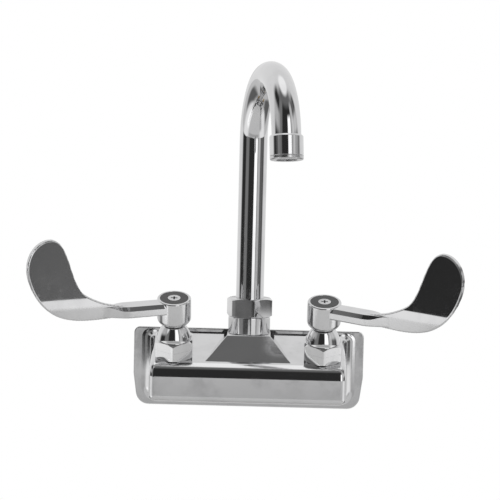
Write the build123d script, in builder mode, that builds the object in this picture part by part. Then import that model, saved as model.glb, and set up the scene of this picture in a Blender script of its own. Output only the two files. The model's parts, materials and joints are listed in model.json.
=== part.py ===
from build123d import *
import os
from math import cos, radians, sin, tan

# Wall-mounted faucet. The wall face is Y = 0, the front is -Y, +Z is up, sizes in mm.
# The origin lies on the wall, midway between the two inlets and level with them.
os.makedirs("parts", exist_ok=True)

# Fits, and the reach within which an edge or a face counts as lying on a plane
pick_reach = 0.1
thread_gap = 0.05
running_gap = 0.05
seat_gap = 0.05
drive_gap = 0.06
seal_gap = 0.03

# A fillet takes at most this share of the wall that it runs out on
fillet_share = 0.9

# A hexagon turned by this angle has a corner, not a flat, towards the viewer
hex_corner_turn = 30.0

# Wall side
inlet_spacing = 101.6
gasket_thickness = 2.0
gasket_inset = 1.0
panel_thickness = 13.0

# Body casting
body_width = 134.0
body_depth = 53.0
body_drop = 17.0
front_edge_radius = 11.0
deck_slope = 20.0
body_wall = 3.5
body_side_radius = 4.0
body_foot_radius = 4.0

# Wall flange of the casting: how far it stands out beside, above and below the body
flange_side_ledge = 13.5
flange_top_ledge = 2.43
flange_foot_ledge = 10.0
flange_side_height = 32.6
flange_foot_taper = 3.0
flange_thickness = 3.0
flange_top_radius = 4.0
flange_foot_radius = 9.0
flare_radius = 8.0

# Raised wedge under the spout
spout_forward = 20.0
wedge_height = 27.2
wedge_margin = 0.35
wedge_side_angle = 49.5
wedge_edge_radius = 1.0

# Waterways
boss_wall = 3.0
shank_socket_depth = 14.0
gallery_radius = 5.5
gallery_drop = 4.5
gallery_length = 15.0
port_radius = 5.0
port_depth = 9.0
crossway_radius = 4.0
crossway_forward = 26.0
crossway_height = 8.5
outlet_well_radius = 8.0
outlet_well_depth = 10.7

# Valve below the deck
valve_forward = 36.4
seat_depth = 13.0
chamber_radius = 9.6
basket_clearance = 1.2
basket_wall = 0.95
window_width = 7.0
disc_thickness = 2.1
disc_hole_radius = 1.7
disc_hole_offset = 4.0
seat_seal_thickness = 0.8
seat_seal_bore = 4.6
cartridge_thread_length = 5.0

# Valve above the deck
valve_hex = 25.4
hex_chamfer = 1.3
valve_nut_height = 6.8
neck_wall = 2.3
neck_thread_length = 5.0
guide_wall = 1.3
bonnet_hex_height = 6.2
bonnet_dome_height = 9.3
bonnet_dome_inset = 0.5
bonnet_bulge = 0.7
bonnet_mouth_wall = 2.3
bonnet_roof = 1.7
clip_headroom = 0.7
neck_ring_inset = 0.2
neck_ring_thickness = 1.25

# Stem
stem_radius = 4.9
stem_flange_thickness = 1.5
stem_square = 6.0
stem_square_length = 12.6
stem_square_lead = 0.6
stem_headroom = 0.3
stem_seal_section = 1.2
first_seal_height = 9.0
second_seal_height = 13.0
stem_tongue_width = 3.0
stem_tongue_depth = 1.2
clip_thickness = 0.9
clip_depth = 0.6
screw_radius = 2.0
screw_engagement = 7.0

# Hub of the handle
hub_gap = 0.2
hub_radius = 11.45
hub_height = 18.8
hub_bowl_radius = 7.6
hub_bowl_height = 4.4
hub_edge_radius = 1.6
hub_rim = 1.85
index_disc_thickness = 0.8
screw_head_radius = 4.3
screw_head_thickness = 1.9
screw_cross_length = 4.6
screw_cross_width = 1.1
screw_cross_depth = 1.2

# Arm and wrist blade: the arm climbs outwards from the hub, runs go along it from its end,
# and heights are taken square to it
arm_rise = 12.3
arm_climb = 11.5
arm_height = 7.5
arm_width = 12.0
arm_length = 38.0
arm_taper = 22.0
arm_edge_radius = 1.2
blade_hollow_run = 35.0
blade_crown_run = 26.0
blade_tip_run = 17.5
blade_heel_run = 58.0
blade_hollow_height = 9.0
blade_tip_height = 22.5
blade_height = 44.5
blade_belly_rise = 4.8
blade_thickness = 3.0
blade_lean = 17.0
blade_bend_height = 8.0
blade_edge_radius = 0.9
hot_turn = 37.0
cold_turn = 42.0

# Spout joint
collar_radius = 14.4
collar_height = 11.7
collar_edge = 0.6
collar_thread_radius = 10.0
collar_thread_length = 14.0
collar_neck_radius = 12.0
collar_neck_height = 7.5
collar_wall = 2.05
spout_nut_hex = 28.4
spout_nut_roof = 1.7
spout_nut_chamfer = 1.2
spout_nut_turn = 13.4
slip_washer_thickness = 0.5
thrust_ring_thickness = 0.8
bush_bore_radius = 5.0
bush_depth = 26.0
bush_flange_inset = 0.8
bush_flange_thickness = 2.0
bush_spigot_length = 11.0
bush_seal_section = 1.6
lower_bush_seal_height = 6.0
upper_bush_seal_height = 12.0

# Gooseneck
tube_radius = 9.525
tube_wall = 1.2
arch_radius = 44.45
riser_height = 111.3
outlet_tilt = 9.0
spout_turn = 14.2

# Spout tip and aerator, measured along the outlet from the end of the arch
tip_sleeve = 1.375
tip_length = 14.0
tip_shoulder = 1.5
tip_wall = 1.7
tube_seat = 5.0
tip_step = 1.3
aerator_rim_height = 2.6
aerator_wall = 1.55
aerator_lip = 0.7
aerator_lip_height = 0.65
aerator_gasket_thickness = 0.8
straightener_thickness = 5.0
screen_thickness = 0.8
screen_pitch = 1.8
screen_wire = 0.5
screen_count = 9
jet_hole_radius = 0.85
inner_jet_ring_radius = 2.9
inner_jet_count = 6
outer_jet_ring_radius = 5.7
outer_jet_count = 12

# Shanks behind the wall
shank_radius = 10.48
shank_bore_radius = 7.0
shank_reach = 45.0
shank_chamfer = 1.0
shank_relief_width = 2.0
shank_relief_depth = 0.6
washer_radius = 16.0
washer_thickness = 2.5
locknut_hex = 27.0
locknut_height = 8.0

sides = {"hot": -1, "cold": 1}
turns = {"hot": hot_turn, "cold": cold_turn}

# The deck starts where the rounded front edge ends, and climbs to the wall.
slope_sin = sin(radians(deck_slope))
slope_cos = cos(radians(deck_slope))
deck_start = body_depth - front_edge_radius * (1 - slope_sin)
deck_start_height = front_edge_radius * slope_cos
body_floor = -body_drop


def deck_height(forward):
    return deck_start_height + (deck_start - forward) * tan(radians(deck_slope))


def valve_plane(side):
    # local z runs up the valve axis, square to the deck
    origin = (side * inlet_spacing / 2, -valve_forward, deck_height(valve_forward))
    return Plane(origin=origin, x_dir=(1, 0, 0), z_dir=(0, -slope_sin, slope_cos))


def valve_profile_plane(side):
    # local x is a radius of the valve and local y its axis
    base = valve_plane(side)
    return Plane(origin=base.origin, x_dir=(1, 0, 0), z_dir=(0, -slope_cos, -slope_sin))


def valve_axis(side):
    base = valve_plane(side)
    return Axis(base.origin, base.z_dir)


def inlet_plane(side, drop=0.0):
    # local z runs from the wall towards the viewer
    return Plane(origin=(side * inlet_spacing / 2, 0, -drop), x_dir=(1, 0, 0), z_dir=(0, -1, 0))


spout_base = Plane(origin=(0, -spout_forward, 0), x_dir=(1, 0, 0), z_dir=(0, 0, 1))
spout_profile_plane = Plane(origin=(0, -spout_forward, 0), x_dir=(1, 0, 0), z_dir=(0, -1, 0))
spout_axis = Axis(spout_base.origin, spout_base.z_dir)
crossway_plane = Plane(origin=(0, -crossway_forward, crossway_height), z_dir=(1, 0, 0))
wall_plane = Plane(origin=(0, 0, 0), x_dir=(1, 0, 0), z_dir=(0, -1, 0))
back_plane = wall_plane.offset(gasket_thickness)
socket_end = gasket_thickness + shank_socket_depth
gallery_end = socket_end + gallery_length - gasket_thickness
flange_face = gasket_thickness + flange_thickness
flange_top = deck_height(flange_face) + flange_top_ledge
wedge_top_width = 2 * (collar_radius + wedge_margin)
outlet_well_floor = wedge_height - collar_thread_length - outlet_well_depth


def ring(plane, low, high, outer, inner=0.0):
    # adds a tube between two levels of a plane to the part being built
    with BuildSketch(plane.offset(low)) as section:
        Circle(outer)
        if inner > 0:
            Circle(inner, mode=Mode.SUBTRACT)
    extrude(section.sketch, amount=high - low)


def drill(plane, low, high, radius):
    # cuts a round hole between two levels of a plane
    with BuildSketch(plane.offset(low)) as section:
        Circle(radius)
    extrude(section.sketch, amount=high - low, mode=Mode.SUBTRACT)


def hexagon(plane, low, high, across_flats, turn=0.0):
    with BuildSketch(plane.offset(low)) as section:
        RegularPolygon(across_flats / 2, 6, major_radius=False, rotation=turn)
    extrude(section.sketch, amount=high - low)


def finish(builder, name):
    builder.part.label = name
    export_step(builder.part, f"parts/{name}.step")
    print(name, round(builder.part.volume / 1000, 2), "cm3")


# Body casting

def side_profile(inset, back):
    # outline of the casting seen from its end, moved inwards by inset
    radius = front_edge_radius - inset
    centre = (-(body_depth - front_edge_radius), 0.0)
    front = centre[0] - radius
    arc_end = (centre[0] - radius * slope_sin, radius * slope_cos)
    wall_height = arc_end[1] + (back - arc_end[0]) * tan(radians(deck_slope))
    with BuildLine() as outline:
        low = body_floor + inset
        Polyline((front, 0.0), (front, low), (back, low), (back, wall_height), arc_end)
        TangentArc((front, 0.0), arc_end, tangent=(0, 1))
    make_face(outline.edges())


def flange_outline(inset=0.0):
    half = body_width / 2 + flange_side_ledge - inset
    foot_half = half - flange_foot_taper
    top = flange_top - inset
    waist = flange_top - flange_side_height
    foot = body_floor - flange_foot_ledge + inset
    with BuildLine() as outline:
        Polyline((-half, top), (half, top), (half, waist), (foot_half, foot), (-foot_half, foot),
                 (-half, waist), close=True)
    plate = make_face(outline.edges())
    corners = plate.vertices().group_by(Axis.Y)
    fillet(corners[-1], flange_top_radius)
    fillet(corners[0], flange_foot_radius)


with BuildPart() as core:
    with BuildSketch(Plane.YZ):
        side_profile(body_wall, -gasket_thickness)
    extrude(amount=body_width / 2 - body_wall, both=True)

with BuildPart() as wedge:
    lowest = 0.0
    spread = (wedge_height - lowest) / tan(radians(wedge_side_angle))
    top_half = wedge_top_width / 2
    with BuildSketch(back_plane):
        Polygon((-top_half, wedge_height), (top_half, wedge_height), (top_half + spread, lowest),
                (-top_half - spread, lowest), align=None)
    extrude(amount=body_depth)
    crest = -(spout_forward + collar_radius)
    with BuildSketch(Plane.YZ):
        Polygon((-gasket_thickness, lowest), (-gasket_thickness, wedge_height), (crest, wedge_height),
                (-deck_start, deck_start_height), (-deck_start, lowest), align=None)
    extrude(amount=body_width / 2, both=True, mode=Mode.INTERSECT)
    fillet(wedge.faces().sort_by(Axis.Z)[-1].edges().sort_by(Axis.Y)[:-1], wedge_edge_radius)

# bosses inside the hollow casting, trimmed by its outside
with BuildPart() as bosses:
    for side in sides.values():
        ring(valve_plane(side), -(seat_depth + port_depth + boss_wall), 0.0, chamber_radius + boss_wall)
        ring(inlet_plane(side), gasket_thickness, socket_end + boss_wall, shank_radius + boss_wall)
        ring(inlet_plane(side, gallery_drop), gasket_thickness, gallery_end + boss_wall,
             gallery_radius + boss_wall)
    ring(crossway_plane, -inlet_spacing / 2, inlet_spacing / 2, crossway_radius + boss_wall)
    boss_radius = collar_thread_radius + boss_wall
    ring(spout_base, outlet_well_floor - boss_wall, deck_height(spout_forward), boss_radius)
    with BuildSketch(Plane.YZ):
        side_profile(0.0, -gasket_thickness)
    extrude(amount=body_width / 2, both=True, mode=Mode.INTERSECT)

with BuildPart() as valve_body:
    with BuildSketch(Plane.YZ):
        side_profile(0.0, -gasket_thickness)
    extrude(amount=body_width / 2, both=True)
    ends = valve_body.edges().filter_by(lambda edge: abs(abs(edge.center().X) - body_width / 2) < pick_reach
                                        and edge.center().Y < -gasket_thickness - pick_reach
                                        and edge.center().Z > body_floor + pick_reach)
    fillet(ends, body_side_radius)
    lengthwise = valve_body.edges().filter_by(Axis.Y)
    foot_edges = lengthwise.filter_by(lambda edge: abs(edge.center().Z - body_floor) < pick_reach)
    fillet(foot_edges, body_foot_radius)
    with BuildSketch(back_plane):
        flange_outline()
    extrude(amount=flange_thickness)
    root_top = deck_height(flange_face) - body_side_radius / 8
    root = valve_body.edges().filter_by(lambda edge: abs(edge.center().Y + flange_face) < pick_reach
                                        and abs(edge.center().X) < body_width / 2 + pick_reach
                                        and body_floor - pick_reach < edge.center().Z < root_top)
    fillet(root, min(flare_radius, fillet_share * flange_side_ledge, fillet_share * flange_foot_ledge))
    add(core.part, mode=Mode.SUBTRACT)
    add(bosses.part)
    add(wedge.part)
    for side in sides.values():
        well = valve_plane(side)
        drill(well, -seat_depth, boss_wall, chamber_radius)
        drill(well, -seat_depth - port_depth, -seat_depth, port_radius)
        drill(inlet_plane(side), gasket_thickness, socket_end, shank_radius + thread_gap)
        drill(inlet_plane(side, gallery_drop), socket_end - thread_gap, gallery_end, gallery_radius)
    drill(crossway_plane, -inlet_spacing / 2, inlet_spacing / 2, crossway_radius)
    thread_floor = wedge_height - collar_thread_length
    drill(spout_base, thread_floor - seat_gap, wedge_height, collar_thread_radius + thread_gap)
    drill(spout_base, outlet_well_floor, thread_floor, outlet_well_radius)
finish(valve_body, "valve_body")


# Wall side

with BuildPart() as wall_gasket:
    with BuildSketch(wall_plane):
        flange_outline(gasket_inset)
        with Locations((-inlet_spacing / 2, 0), (inlet_spacing / 2, 0)):
            Circle(shank_radius + 4 * seat_gap, mode=Mode.SUBTRACT)
    extrude(amount=gasket_thickness)
finish(wall_gasket, "wall_gasket")


def make_shank(name, side):
    # the relief parts the thread of the supply nut from that of the locknut
    relief_end = -panel_thickness - washer_thickness - locknut_height - seat_gap
    with BuildPart() as shank:
        ring(inlet_plane(side), -shank_reach, socket_end - seat_gap, shank_radius, shank_bore_radius)
        chamfer(shank.edges().group_by(Axis.Y)[-1].sort_by(SortBy.RADIUS)[-1], shank_chamfer)
        with BuildSketch(inlet_plane(side).offset(relief_end - shank_relief_width)) as relief:
            Circle(washer_radius)
            Circle(shank_radius - shank_relief_depth, mode=Mode.SUBTRACT)
        extrude(relief.sketch, amount=shank_relief_width, mode=Mode.SUBTRACT)
    finish(shank, f"{name}_inlet_shank")


def make_washer(name, side):
    with BuildPart() as washer:
        ring(inlet_plane(side), -panel_thickness - washer_thickness, -panel_thickness, washer_radius,
             shank_radius + 3 * thread_gap)
    finish(washer, f"{name}_wall_washer")


def turned_hexagon(plane, low, high, across_flats, corner_cut, turn, cut_low, cut_high):
    # a hexagon whose corners are turned off by a cone at the ends that are asked for
    flat = across_flats / 2
    corner = flat / cos(radians(30))
    reach = corner + corner_cut
    fall = corner_cut * (reach - flat) / (corner - flat)
    along = Axis(plane.origin, plane.z_dir)
    with BuildPart() as cone:
        ring(plane, low, high, reach)
        if cut_low:
            chamfer(cone.edges().filter_by(GeomType.CIRCLE).sort_by(along)[0], fall, reach - flat)
        if cut_high:
            chamfer(cone.edges().filter_by(GeomType.CIRCLE).sort_by(along)[-1], fall, reach - flat)
    with BuildPart() as blank:
        hexagon(plane, low, high, across_flats, turn)
        add(cone.part, mode=Mode.INTERSECT)
    return blank.part


def make_locknut(name, side):
    high = -panel_thickness - washer_thickness
    low = high - locknut_height
    blank = turned_hexagon(inlet_plane(side), low, high, locknut_hex, hex_chamfer, 0.0, True, False)
    with BuildPart() as locknut:
        add(blank)
        drill(inlet_plane(side), low, high, shank_radius + thread_gap)
    finish(locknut, f"{name}_locknut")


for name, side in sides.items():
    make_shank(name, side)
    make_washer(name, side)
    make_locknut(name, side)


# Valves: every level runs up the valve axis from the deck

basket_radius = chamber_radius - basket_clearance
basket_inner_radius = basket_radius - basket_wall
guide_radius = stem_radius + guide_wall
neck_thread_radius = guide_radius + neck_wall
bonnet_hex_top = valve_nut_height + bonnet_hex_height
bonnet_top = bonnet_hex_top + bonnet_dome_height
bonnet_mouth_radius = stem_radius + bonnet_mouth_wall
guide_top = bonnet_top - bonnet_roof - clip_headroom - clip_thickness
neck_ring_top = bonnet_top + seat_gap + neck_ring_thickness
hub_bottom = neck_ring_top + hub_gap
hub_top = hub_bottom + hub_height
hub_recess_radius = hub_radius - hub_rim
basket_bottom = -seat_depth + seat_seal_thickness + seat_gap
fixed_disc_bottom = basket_bottom + seat_gap
moving_disc_bottom = fixed_disc_bottom + disc_thickness + seat_gap
stem_flange_bottom = moving_disc_bottom + disc_thickness + seat_gap
stem_flange_top = stem_flange_bottom + stem_flange_thickness
basket_roof = stem_flange_top + seat_gap
clip_bottom = guide_top + seat_gap
clip_top = clip_bottom + clip_thickness
stem_shoulder = hub_bottom + stem_square_lead
stem_top = stem_shoulder + stem_square_length
hub_socket_top = stem_top + stem_headroom
recess_bottom = hub_top - index_disc_thickness
screw_head_bottom = hub_top - screw_head_thickness


def make_cartridge(name, side):
    plane = valve_plane(side)
    blank = turned_hexagon(plane, 0.0, valve_nut_height, valve_hex, hex_chamfer, hex_corner_turn, True, False)
    with BuildPart() as cartridge:
        add(blank)
        ring(plane, -cartridge_thread_length, 0.0, chamber_radius - thread_gap)
        ring(plane, basket_bottom, -cartridge_thread_length, basket_radius)
        ring(plane, valve_nut_height, valve_nut_height + neck_thread_length, neck_thread_radius)
        ring(plane, valve_nut_height, guide_top, guide_radius)
        drill(plane, basket_bottom, basket_roof, basket_inner_radius)
        drill(plane, basket_roof, guide_top, stem_radius + running_gap)
        window_height = basket_roof - moving_disc_bottom - disc_thickness
        with BuildSketch(plane.offset(basket_roof - window_height)) as windows:
            Rectangle(2 * chamber_radius, window_width)
        extrude(windows.sketch, amount=window_height, mode=Mode.SUBTRACT)
    finish(cartridge, f"{name}_cartridge")


def make_discs(name, side):
    plane = valve_plane(side)
    radius = basket_inner_radius - seal_gap
    with BuildPart() as fixed_disc:
        ring(plane, fixed_disc_bottom, fixed_disc_bottom + disc_thickness, radius)
        with BuildSketch(plane.offset(fixed_disc_bottom)) as ports:
            with Locations((0, disc_hole_offset), (0, -disc_hole_offset)):
                Circle(disc_hole_radius)
        extrude(ports.sketch, amount=disc_thickness, mode=Mode.SUBTRACT)
    finish(fixed_disc, f"{name}_fixed_disc")
    with BuildPart() as moving_disc:
        ring(plane, moving_disc_bottom, moving_disc_bottom + disc_thickness, radius - running_gap)
        with BuildSketch(plane.offset(moving_disc_bottom)) as ports:
            with Locations((disc_hole_offset, 0), (-disc_hole_offset, 0)):
                Circle(disc_hole_radius)
        extrude(ports.sketch, amount=disc_thickness, mode=Mode.SUBTRACT)
        tongue_bottom = moving_disc_bottom + disc_thickness - stem_tongue_depth - seat_gap
        with BuildSketch(plane.offset(tongue_bottom)) as slot:
            Rectangle(stem_tongue_width + 2 * drive_gap, 2 * basket_inner_radius)
        extrude(slot.sketch, amount=stem_tongue_depth + 2 * seat_gap, mode=Mode.SUBTRACT)
    finish(moving_disc, f"{name}_moving_disc")
    with BuildPart() as seat_seal:
        ring(plane, -seat_depth, -seat_depth + seat_seal_thickness, basket_inner_radius, seat_seal_bore)
    finish(seat_seal, f"{name}_seat_seal")


def make_stem(name, side):
    plane = valve_plane(side)
    with BuildPart() as stem:
        ring(plane, stem_flange_bottom, stem_flange_top, basket_inner_radius - seal_gap - running_gap)
        ring(plane, stem_flange_top, stem_shoulder, stem_radius)
        with BuildSketch(plane.offset(stem_shoulder)) as square:
            Rectangle(stem_square, stem_square)
        extrude(square.sketch, amount=stem_top - stem_shoulder)
        with BuildSketch(plane.offset(stem_flange_bottom - stem_tongue_depth)) as tongue:
            Rectangle(stem_tongue_width, 2 * stem_radius)
        extrude(tongue.sketch, amount=stem_tongue_depth)
        for level in (first_seal_height, second_seal_height):
            with BuildSketch(plane.offset(level)) as groove:
                Circle(guide_radius)
                Circle(stem_radius - stem_seal_section, mode=Mode.SUBTRACT)
            extrude(groove.sketch, amount=stem_seal_section + 2 * seal_gap, mode=Mode.SUBTRACT)
        with BuildSketch(plane.offset(clip_bottom)) as groove:
            Circle(guide_radius)
            Circle(stem_radius - clip_depth, mode=Mode.SUBTRACT)
        extrude(groove.sketch, amount=clip_thickness + seat_gap, mode=Mode.SUBTRACT)
        drill(plane, stem_top - screw_engagement - screw_radius / 2, stem_top, screw_radius + thread_gap)
    finish(stem, f"{name}_stem")
    section = stem_seal_section / 2 - seal_gap
    centre = stem_radius - stem_seal_section + seal_gap + section
    with BuildPart() as stem_seals:
        for level in (first_seal_height, second_seal_height):
            middle = level + stem_seal_section / 2 + seal_gap
            with BuildSketch(valve_profile_plane(side)) as bead:
                with Locations((centre, middle)):
                    Circle(section)
            revolve(bead.sketch, axis=valve_axis(side))
    finish(stem_seals, f"{name}_stem_seals")
    with BuildPart() as clip:
        ring(plane, clip_bottom, clip_top, guide_radius - clip_depth / 2, stem_radius - clip_depth + seal_gap)
        with BuildSketch(plane.offset(clip_bottom)) as mouth:
            with Locations((0, guide_radius)):
                Rectangle(stem_radius, 2 * guide_radius)
        extrude(mouth.sketch, amount=clip_thickness, mode=Mode.SUBTRACT)
    finish(clip, f"{name}_stem_clip")


def make_bonnet(name, side):
    plane = valve_plane(side)
    blank = turned_hexagon(plane, valve_nut_height + seat_gap, bonnet_hex_top, valve_hex, hex_chamfer,
                           hex_corner_turn, False, True)
    with BuildPart() as bonnet:
        add(blank)
        with BuildSketch(valve_profile_plane(side)) as cone:
            with BuildLine():
                foot = (valve_hex / 2 - bonnet_dome_inset, bonnet_hex_top - hex_chamfer)
                crown = (bonnet_mouth_radius, bonnet_top)
                middle = ((foot[0] + crown[0]) / 2 + bonnet_bulge,
                          (foot[1] + crown[1]) / 2 + bonnet_bulge / 2)
                ThreePointArc(foot, middle, crown)
                Polyline(crown, (0, bonnet_top), (0, foot[1]), foot)
            make_face()
        revolve(cone.sketch, axis=valve_axis(side))
        drill(plane, valve_nut_height, valve_nut_height + neck_thread_length + 4 * seat_gap,
              neck_thread_radius + thread_gap)
        drill(plane, valve_nut_height, bonnet_top - bonnet_roof, guide_radius + 2 * running_gap)
        drill(plane, bonnet_top - bonnet_roof, bonnet_top, stem_radius + 4 * running_gap)
    finish(bonnet, f"{name}_bonnet")
    with BuildPart() as neck_ring:
        ring(plane, bonnet_top + seat_gap, neck_ring_top, bonnet_mouth_radius - neck_ring_inset,
             stem_radius + 4 * running_gap)
    finish(neck_ring, f"{name}_neck_ring")


# Wrist-blade handles. Local x points out along the climbing arm, local z square to it.

def arm_plane(side, turn, climb):
    base = valve_plane(side)
    front = Vector(0, -slope_cos, -slope_sin)
    outward = Vector(side, 0, 0) * cos(radians(turn)) + front * sin(radians(turn))
    along = outward * cos(radians(climb)) + base.z_dir * sin(radians(climb))
    up = base.z_dir * cos(radians(climb)) - outward * sin(radians(climb))
    return Plane(origin=base.origin + base.z_dir * (hub_bottom + arm_rise), x_dir=along, z_dir=up)


# Heights of the arm and the blade start at the middle of the arm.
arm_top = arm_height / 2
arm_bottom = -arm_top
hollow_reach = arm_length + blade_hollow_run
crown_reach = hollow_reach + blade_crown_run
blade_reach = crown_reach + blade_tip_run
blade_top = arm_top + blade_height
heel_height = arm_bottom + blade_belly_rise


def blade_outline():
    # seen square to the blade: a straight arm that swells into an upright paddle
    tip = (blade_reach, arm_top + blade_tip_height)
    heel = (arm_length + blade_heel_run, heel_height)
    with BuildLine() as outline:
        hollow_end = (hollow_reach, arm_top + blade_hollow_height)
        hollow = TangentArc((arm_length, arm_top), hollow_end, tangent=(1, 0))
        Spline(hollow @ 1, (crown_reach, blade_top), tangents=(hollow % 1, (1, 0)))
        crown = TangentArc((crown_reach, blade_top), tip, tangent=(1, 0))
        belly = TangentArc(crown @ 1, heel, tangent=crown % 1)
        Spline(belly @ 1, (arm_length, arm_bottom), tangents=(belly % 1, (-1, 0)))
        Line((arm_length, arm_bottom), (arm_length, arm_top))
    make_face(outline.edges())


def slat_section():
    # seen along the arm: a thin slat that bends backwards and then runs straight
    # local x is forward, local y runs up square to the arm
    half = blade_thickness / 2
    lean = tan(radians(blade_lean))
    low = arm_bottom - blade_thickness
    bend_end = arm_top + blade_bend_height
    top = blade_top + blade_thickness
    bend_back = lean * blade_bend_height / 2
    top_back = bend_back + lean * (top - bend_end)
    with BuildLine() as outline:
        Line((half, low), (half, arm_top))
        TangentArc((half, arm_top), (half - bend_back, bend_end), tangent=(0, 1))
        Polyline((half - bend_back, bend_end), (half - top_back, top), (-half - top_back, top),
                 (-half - bend_back, bend_end))
        TangentArc((-half, arm_top), (-half - bend_back, bend_end), tangent=(0, 1))
        Polyline((-half, arm_top), (-half, low), (half, low))
    make_face(outline.edges())


def make_paddle(upright, along, side):
    with BuildPart() as paddle:
        with BuildSketch(upright) as outline:
            blade_outline()
        extrude(outline.sketch, amount=blade_top, both=True)
        with BuildSketch(along) as slat:
            slat_section()
        extrude(slat.sketch, amount=-side * (blade_reach + blade_thickness), mode=Mode.INTERSECT)
        rim_start = arm_length + arm_taper / 4
        rim = paddle.edges().filter_by(lambda edge: edge.length > blade_thickness * 1.5)
        outer = rim.filter_by(lambda edge: upright.to_local_coords(edge.center()).X > rim_start)
        fillet(outer, blade_edge_radius)
    return paddle.part


def make_arm(plane, upright):
    end = arm_length + arm_taper
    end_half = blade_thickness / 2 - seal_gap
    half = arm_width / 2
    with BuildPart() as arm:
        with BuildSketch(upright) as rise:
            Rectangle(end, arm_top - arm_bottom, align=Align.MIN)
        extrude(Pos(plane.z_dir * arm_bottom) * rise.sketch, amount=arm_width, both=True)
        with BuildSketch(plane) as width:
            with BuildLine() as outline:
                Spline((arm_length, half), (end, end_half), tangents=((1, 0), (1, 0)))
                Line((end, end_half), (end, -end_half))
                Spline((arm_length, -half), (end, -end_half), tangents=((1, 0), (1, 0)))
                Polyline((arm_length, -half), (0, -half), (0, half), (arm_length, half))
            make_face(outline.edges())
        extrude(width.sketch, amount=blade_top, mode=Mode.INTERSECT)
        edges = arm.edges().filter_by(lambda edge: edge.length > arm_width * 1.5)
        fillet(edges, arm_edge_radius)
    return arm.part


def make_handle(name, side):
    base = valve_plane(side)
    plane = arm_plane(side, turns[name], arm_climb)
    forward = plane.y_dir * -side
    upright = Plane(origin=plane.origin, x_dir=plane.x_dir, z_dir=plane.x_dir.cross(plane.z_dir))
    along = Plane(origin=plane.origin, x_dir=forward, z_dir=forward.cross(plane.z_dir))
    arm = make_arm(plane, upright)
    paddle = make_paddle(upright, along, side)
    with BuildPart() as handle:
        with BuildSketch(valve_profile_plane(side)) as hub:
            with BuildLine() as outline:
                waist = (hub_radius, hub_bottom + hub_bowl_height)
                Line((0, hub_bottom), (hub_bowl_radius, hub_bottom))
                TangentArc(waist, (hub_bowl_radius, hub_bottom), tangent=(0, -1))
                Polyline(waist, (hub_radius, hub_top), (0, hub_top), (0, hub_bottom))
            make_face(outline.edges())
        revolve(hub.sketch, axis=valve_axis(side))
        fillet(handle.edges().filter_by(GeomType.CIRCLE).sort_by(valve_axis(side))[-1], hub_edge_radius)
        add(arm)
        add(paddle)
        drill(base, recess_bottom, hub_top, hub_recess_radius)
        drill(base, screw_head_bottom - seat_gap, hub_top, screw_head_radius + 3 * seat_gap)
        drill(base, hub_bottom, hub_top, screw_radius + 2 * thread_gap)
        drill(base, hub_bottom, stem_shoulder + seat_gap, stem_radius + 2 * drive_gap)
        with BuildSketch(base.offset(hub_bottom)) as socket:
            Rectangle(stem_square + 2 * drive_gap, stem_square + 2 * drive_gap)
        extrude(socket.sketch, amount=hub_socket_top - hub_bottom, mode=Mode.SUBTRACT)
    finish(handle, f"{name}_handle")


def make_handle_top(name, side):
    plane = valve_plane(side)
    with BuildPart() as index_disc:
        ring(plane, recess_bottom + seat_gap, hub_top - seat_gap, hub_recess_radius - 2 * seat_gap,
             screw_head_radius + 3 * seat_gap)
    finish(index_disc, f"{name}_index_disc")
    with BuildPart() as screw:
        ring(plane, screw_head_bottom, hub_top, screw_head_radius)
        ring(plane, stem_top - screw_engagement, screw_head_bottom, screw_radius)
        with BuildSketch(plane.offset(hub_top - screw_cross_depth)) as cross:
            Rectangle(screw_cross_length, screw_cross_width)
            Rectangle(screw_cross_width, screw_cross_length)
        extrude(cross.sketch, amount=screw_cross_depth, mode=Mode.SUBTRACT)
    finish(screw, f"{name}_handle_screw")


for name, side in sides.items():
    make_cartridge(name, side)
    make_discs(name, side)
    make_stem(name, side)
    make_bonnet(name, side)
    make_handle(name, side)
    make_handle_top(name, side)


# Spout joint: every level runs up the spout axis from the height of the inlets

collar_bottom = wedge_height
collar_top = collar_bottom + collar_height
neck_top = collar_top + collar_neck_height
bush_radius = collar_thread_radius - thread_gap - collar_wall
bush_flange_radius = collar_neck_radius - bush_flange_inset
washer_bottom = neck_top + seat_gap
washer_top = washer_bottom + slip_washer_thickness
bush_flange_bottom = washer_top + seat_gap
bush_flange_top = bush_flange_bottom + bush_flange_thickness
thrust_bottom = bush_flange_top + seat_gap
thrust_top = thrust_bottom + thrust_ring_thickness
nut_roof = thrust_top + seat_gap
nut_top = nut_roof + spout_nut_roof
tube_bottom = bush_flange_top + seat_gap
bush_bottom = neck_top - bush_depth
bush_top = bush_flange_top + bush_spigot_length
bush_seal_levels = (bush_bottom + lower_bush_seal_height, bush_bottom + upper_bush_seal_height)

with BuildPart() as spout_collar:
    ring(spout_base, collar_bottom - collar_thread_length, collar_bottom, collar_thread_radius - thread_gap)
    ring(spout_base, collar_bottom, collar_top, collar_radius)
    ring(spout_base, collar_top, neck_top, collar_neck_radius)
    rim = spout_collar.edges().filter_by(GeomType.CIRCLE)
    chamfer(rim.filter_by(lambda edge: abs(edge.radius - collar_radius) < pick_reach), collar_edge)
    drill(spout_base, collar_bottom - collar_thread_length, neck_top, bush_radius + running_gap)
finish(spout_collar, "spout_collar")

nut_blank = turned_hexagon(spout_base, collar_top + seat_gap, nut_top, spout_nut_hex, spout_nut_chamfer,
                           spout_nut_turn + hex_corner_turn, True, True)
with BuildPart() as spout_nut:
    add(nut_blank)
    drill(spout_base, collar_top, nut_roof, collar_neck_radius + thread_gap)
    drill(spout_base, nut_roof, nut_top, tube_radius + 3 * seat_gap)
finish(spout_nut, "spout_nut")

with BuildPart() as slip_washer:
    ring(spout_base, washer_bottom, washer_top, bush_flange_radius, bush_radius + 3 * seat_gap)
finish(slip_washer, "slip_washer")

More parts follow.
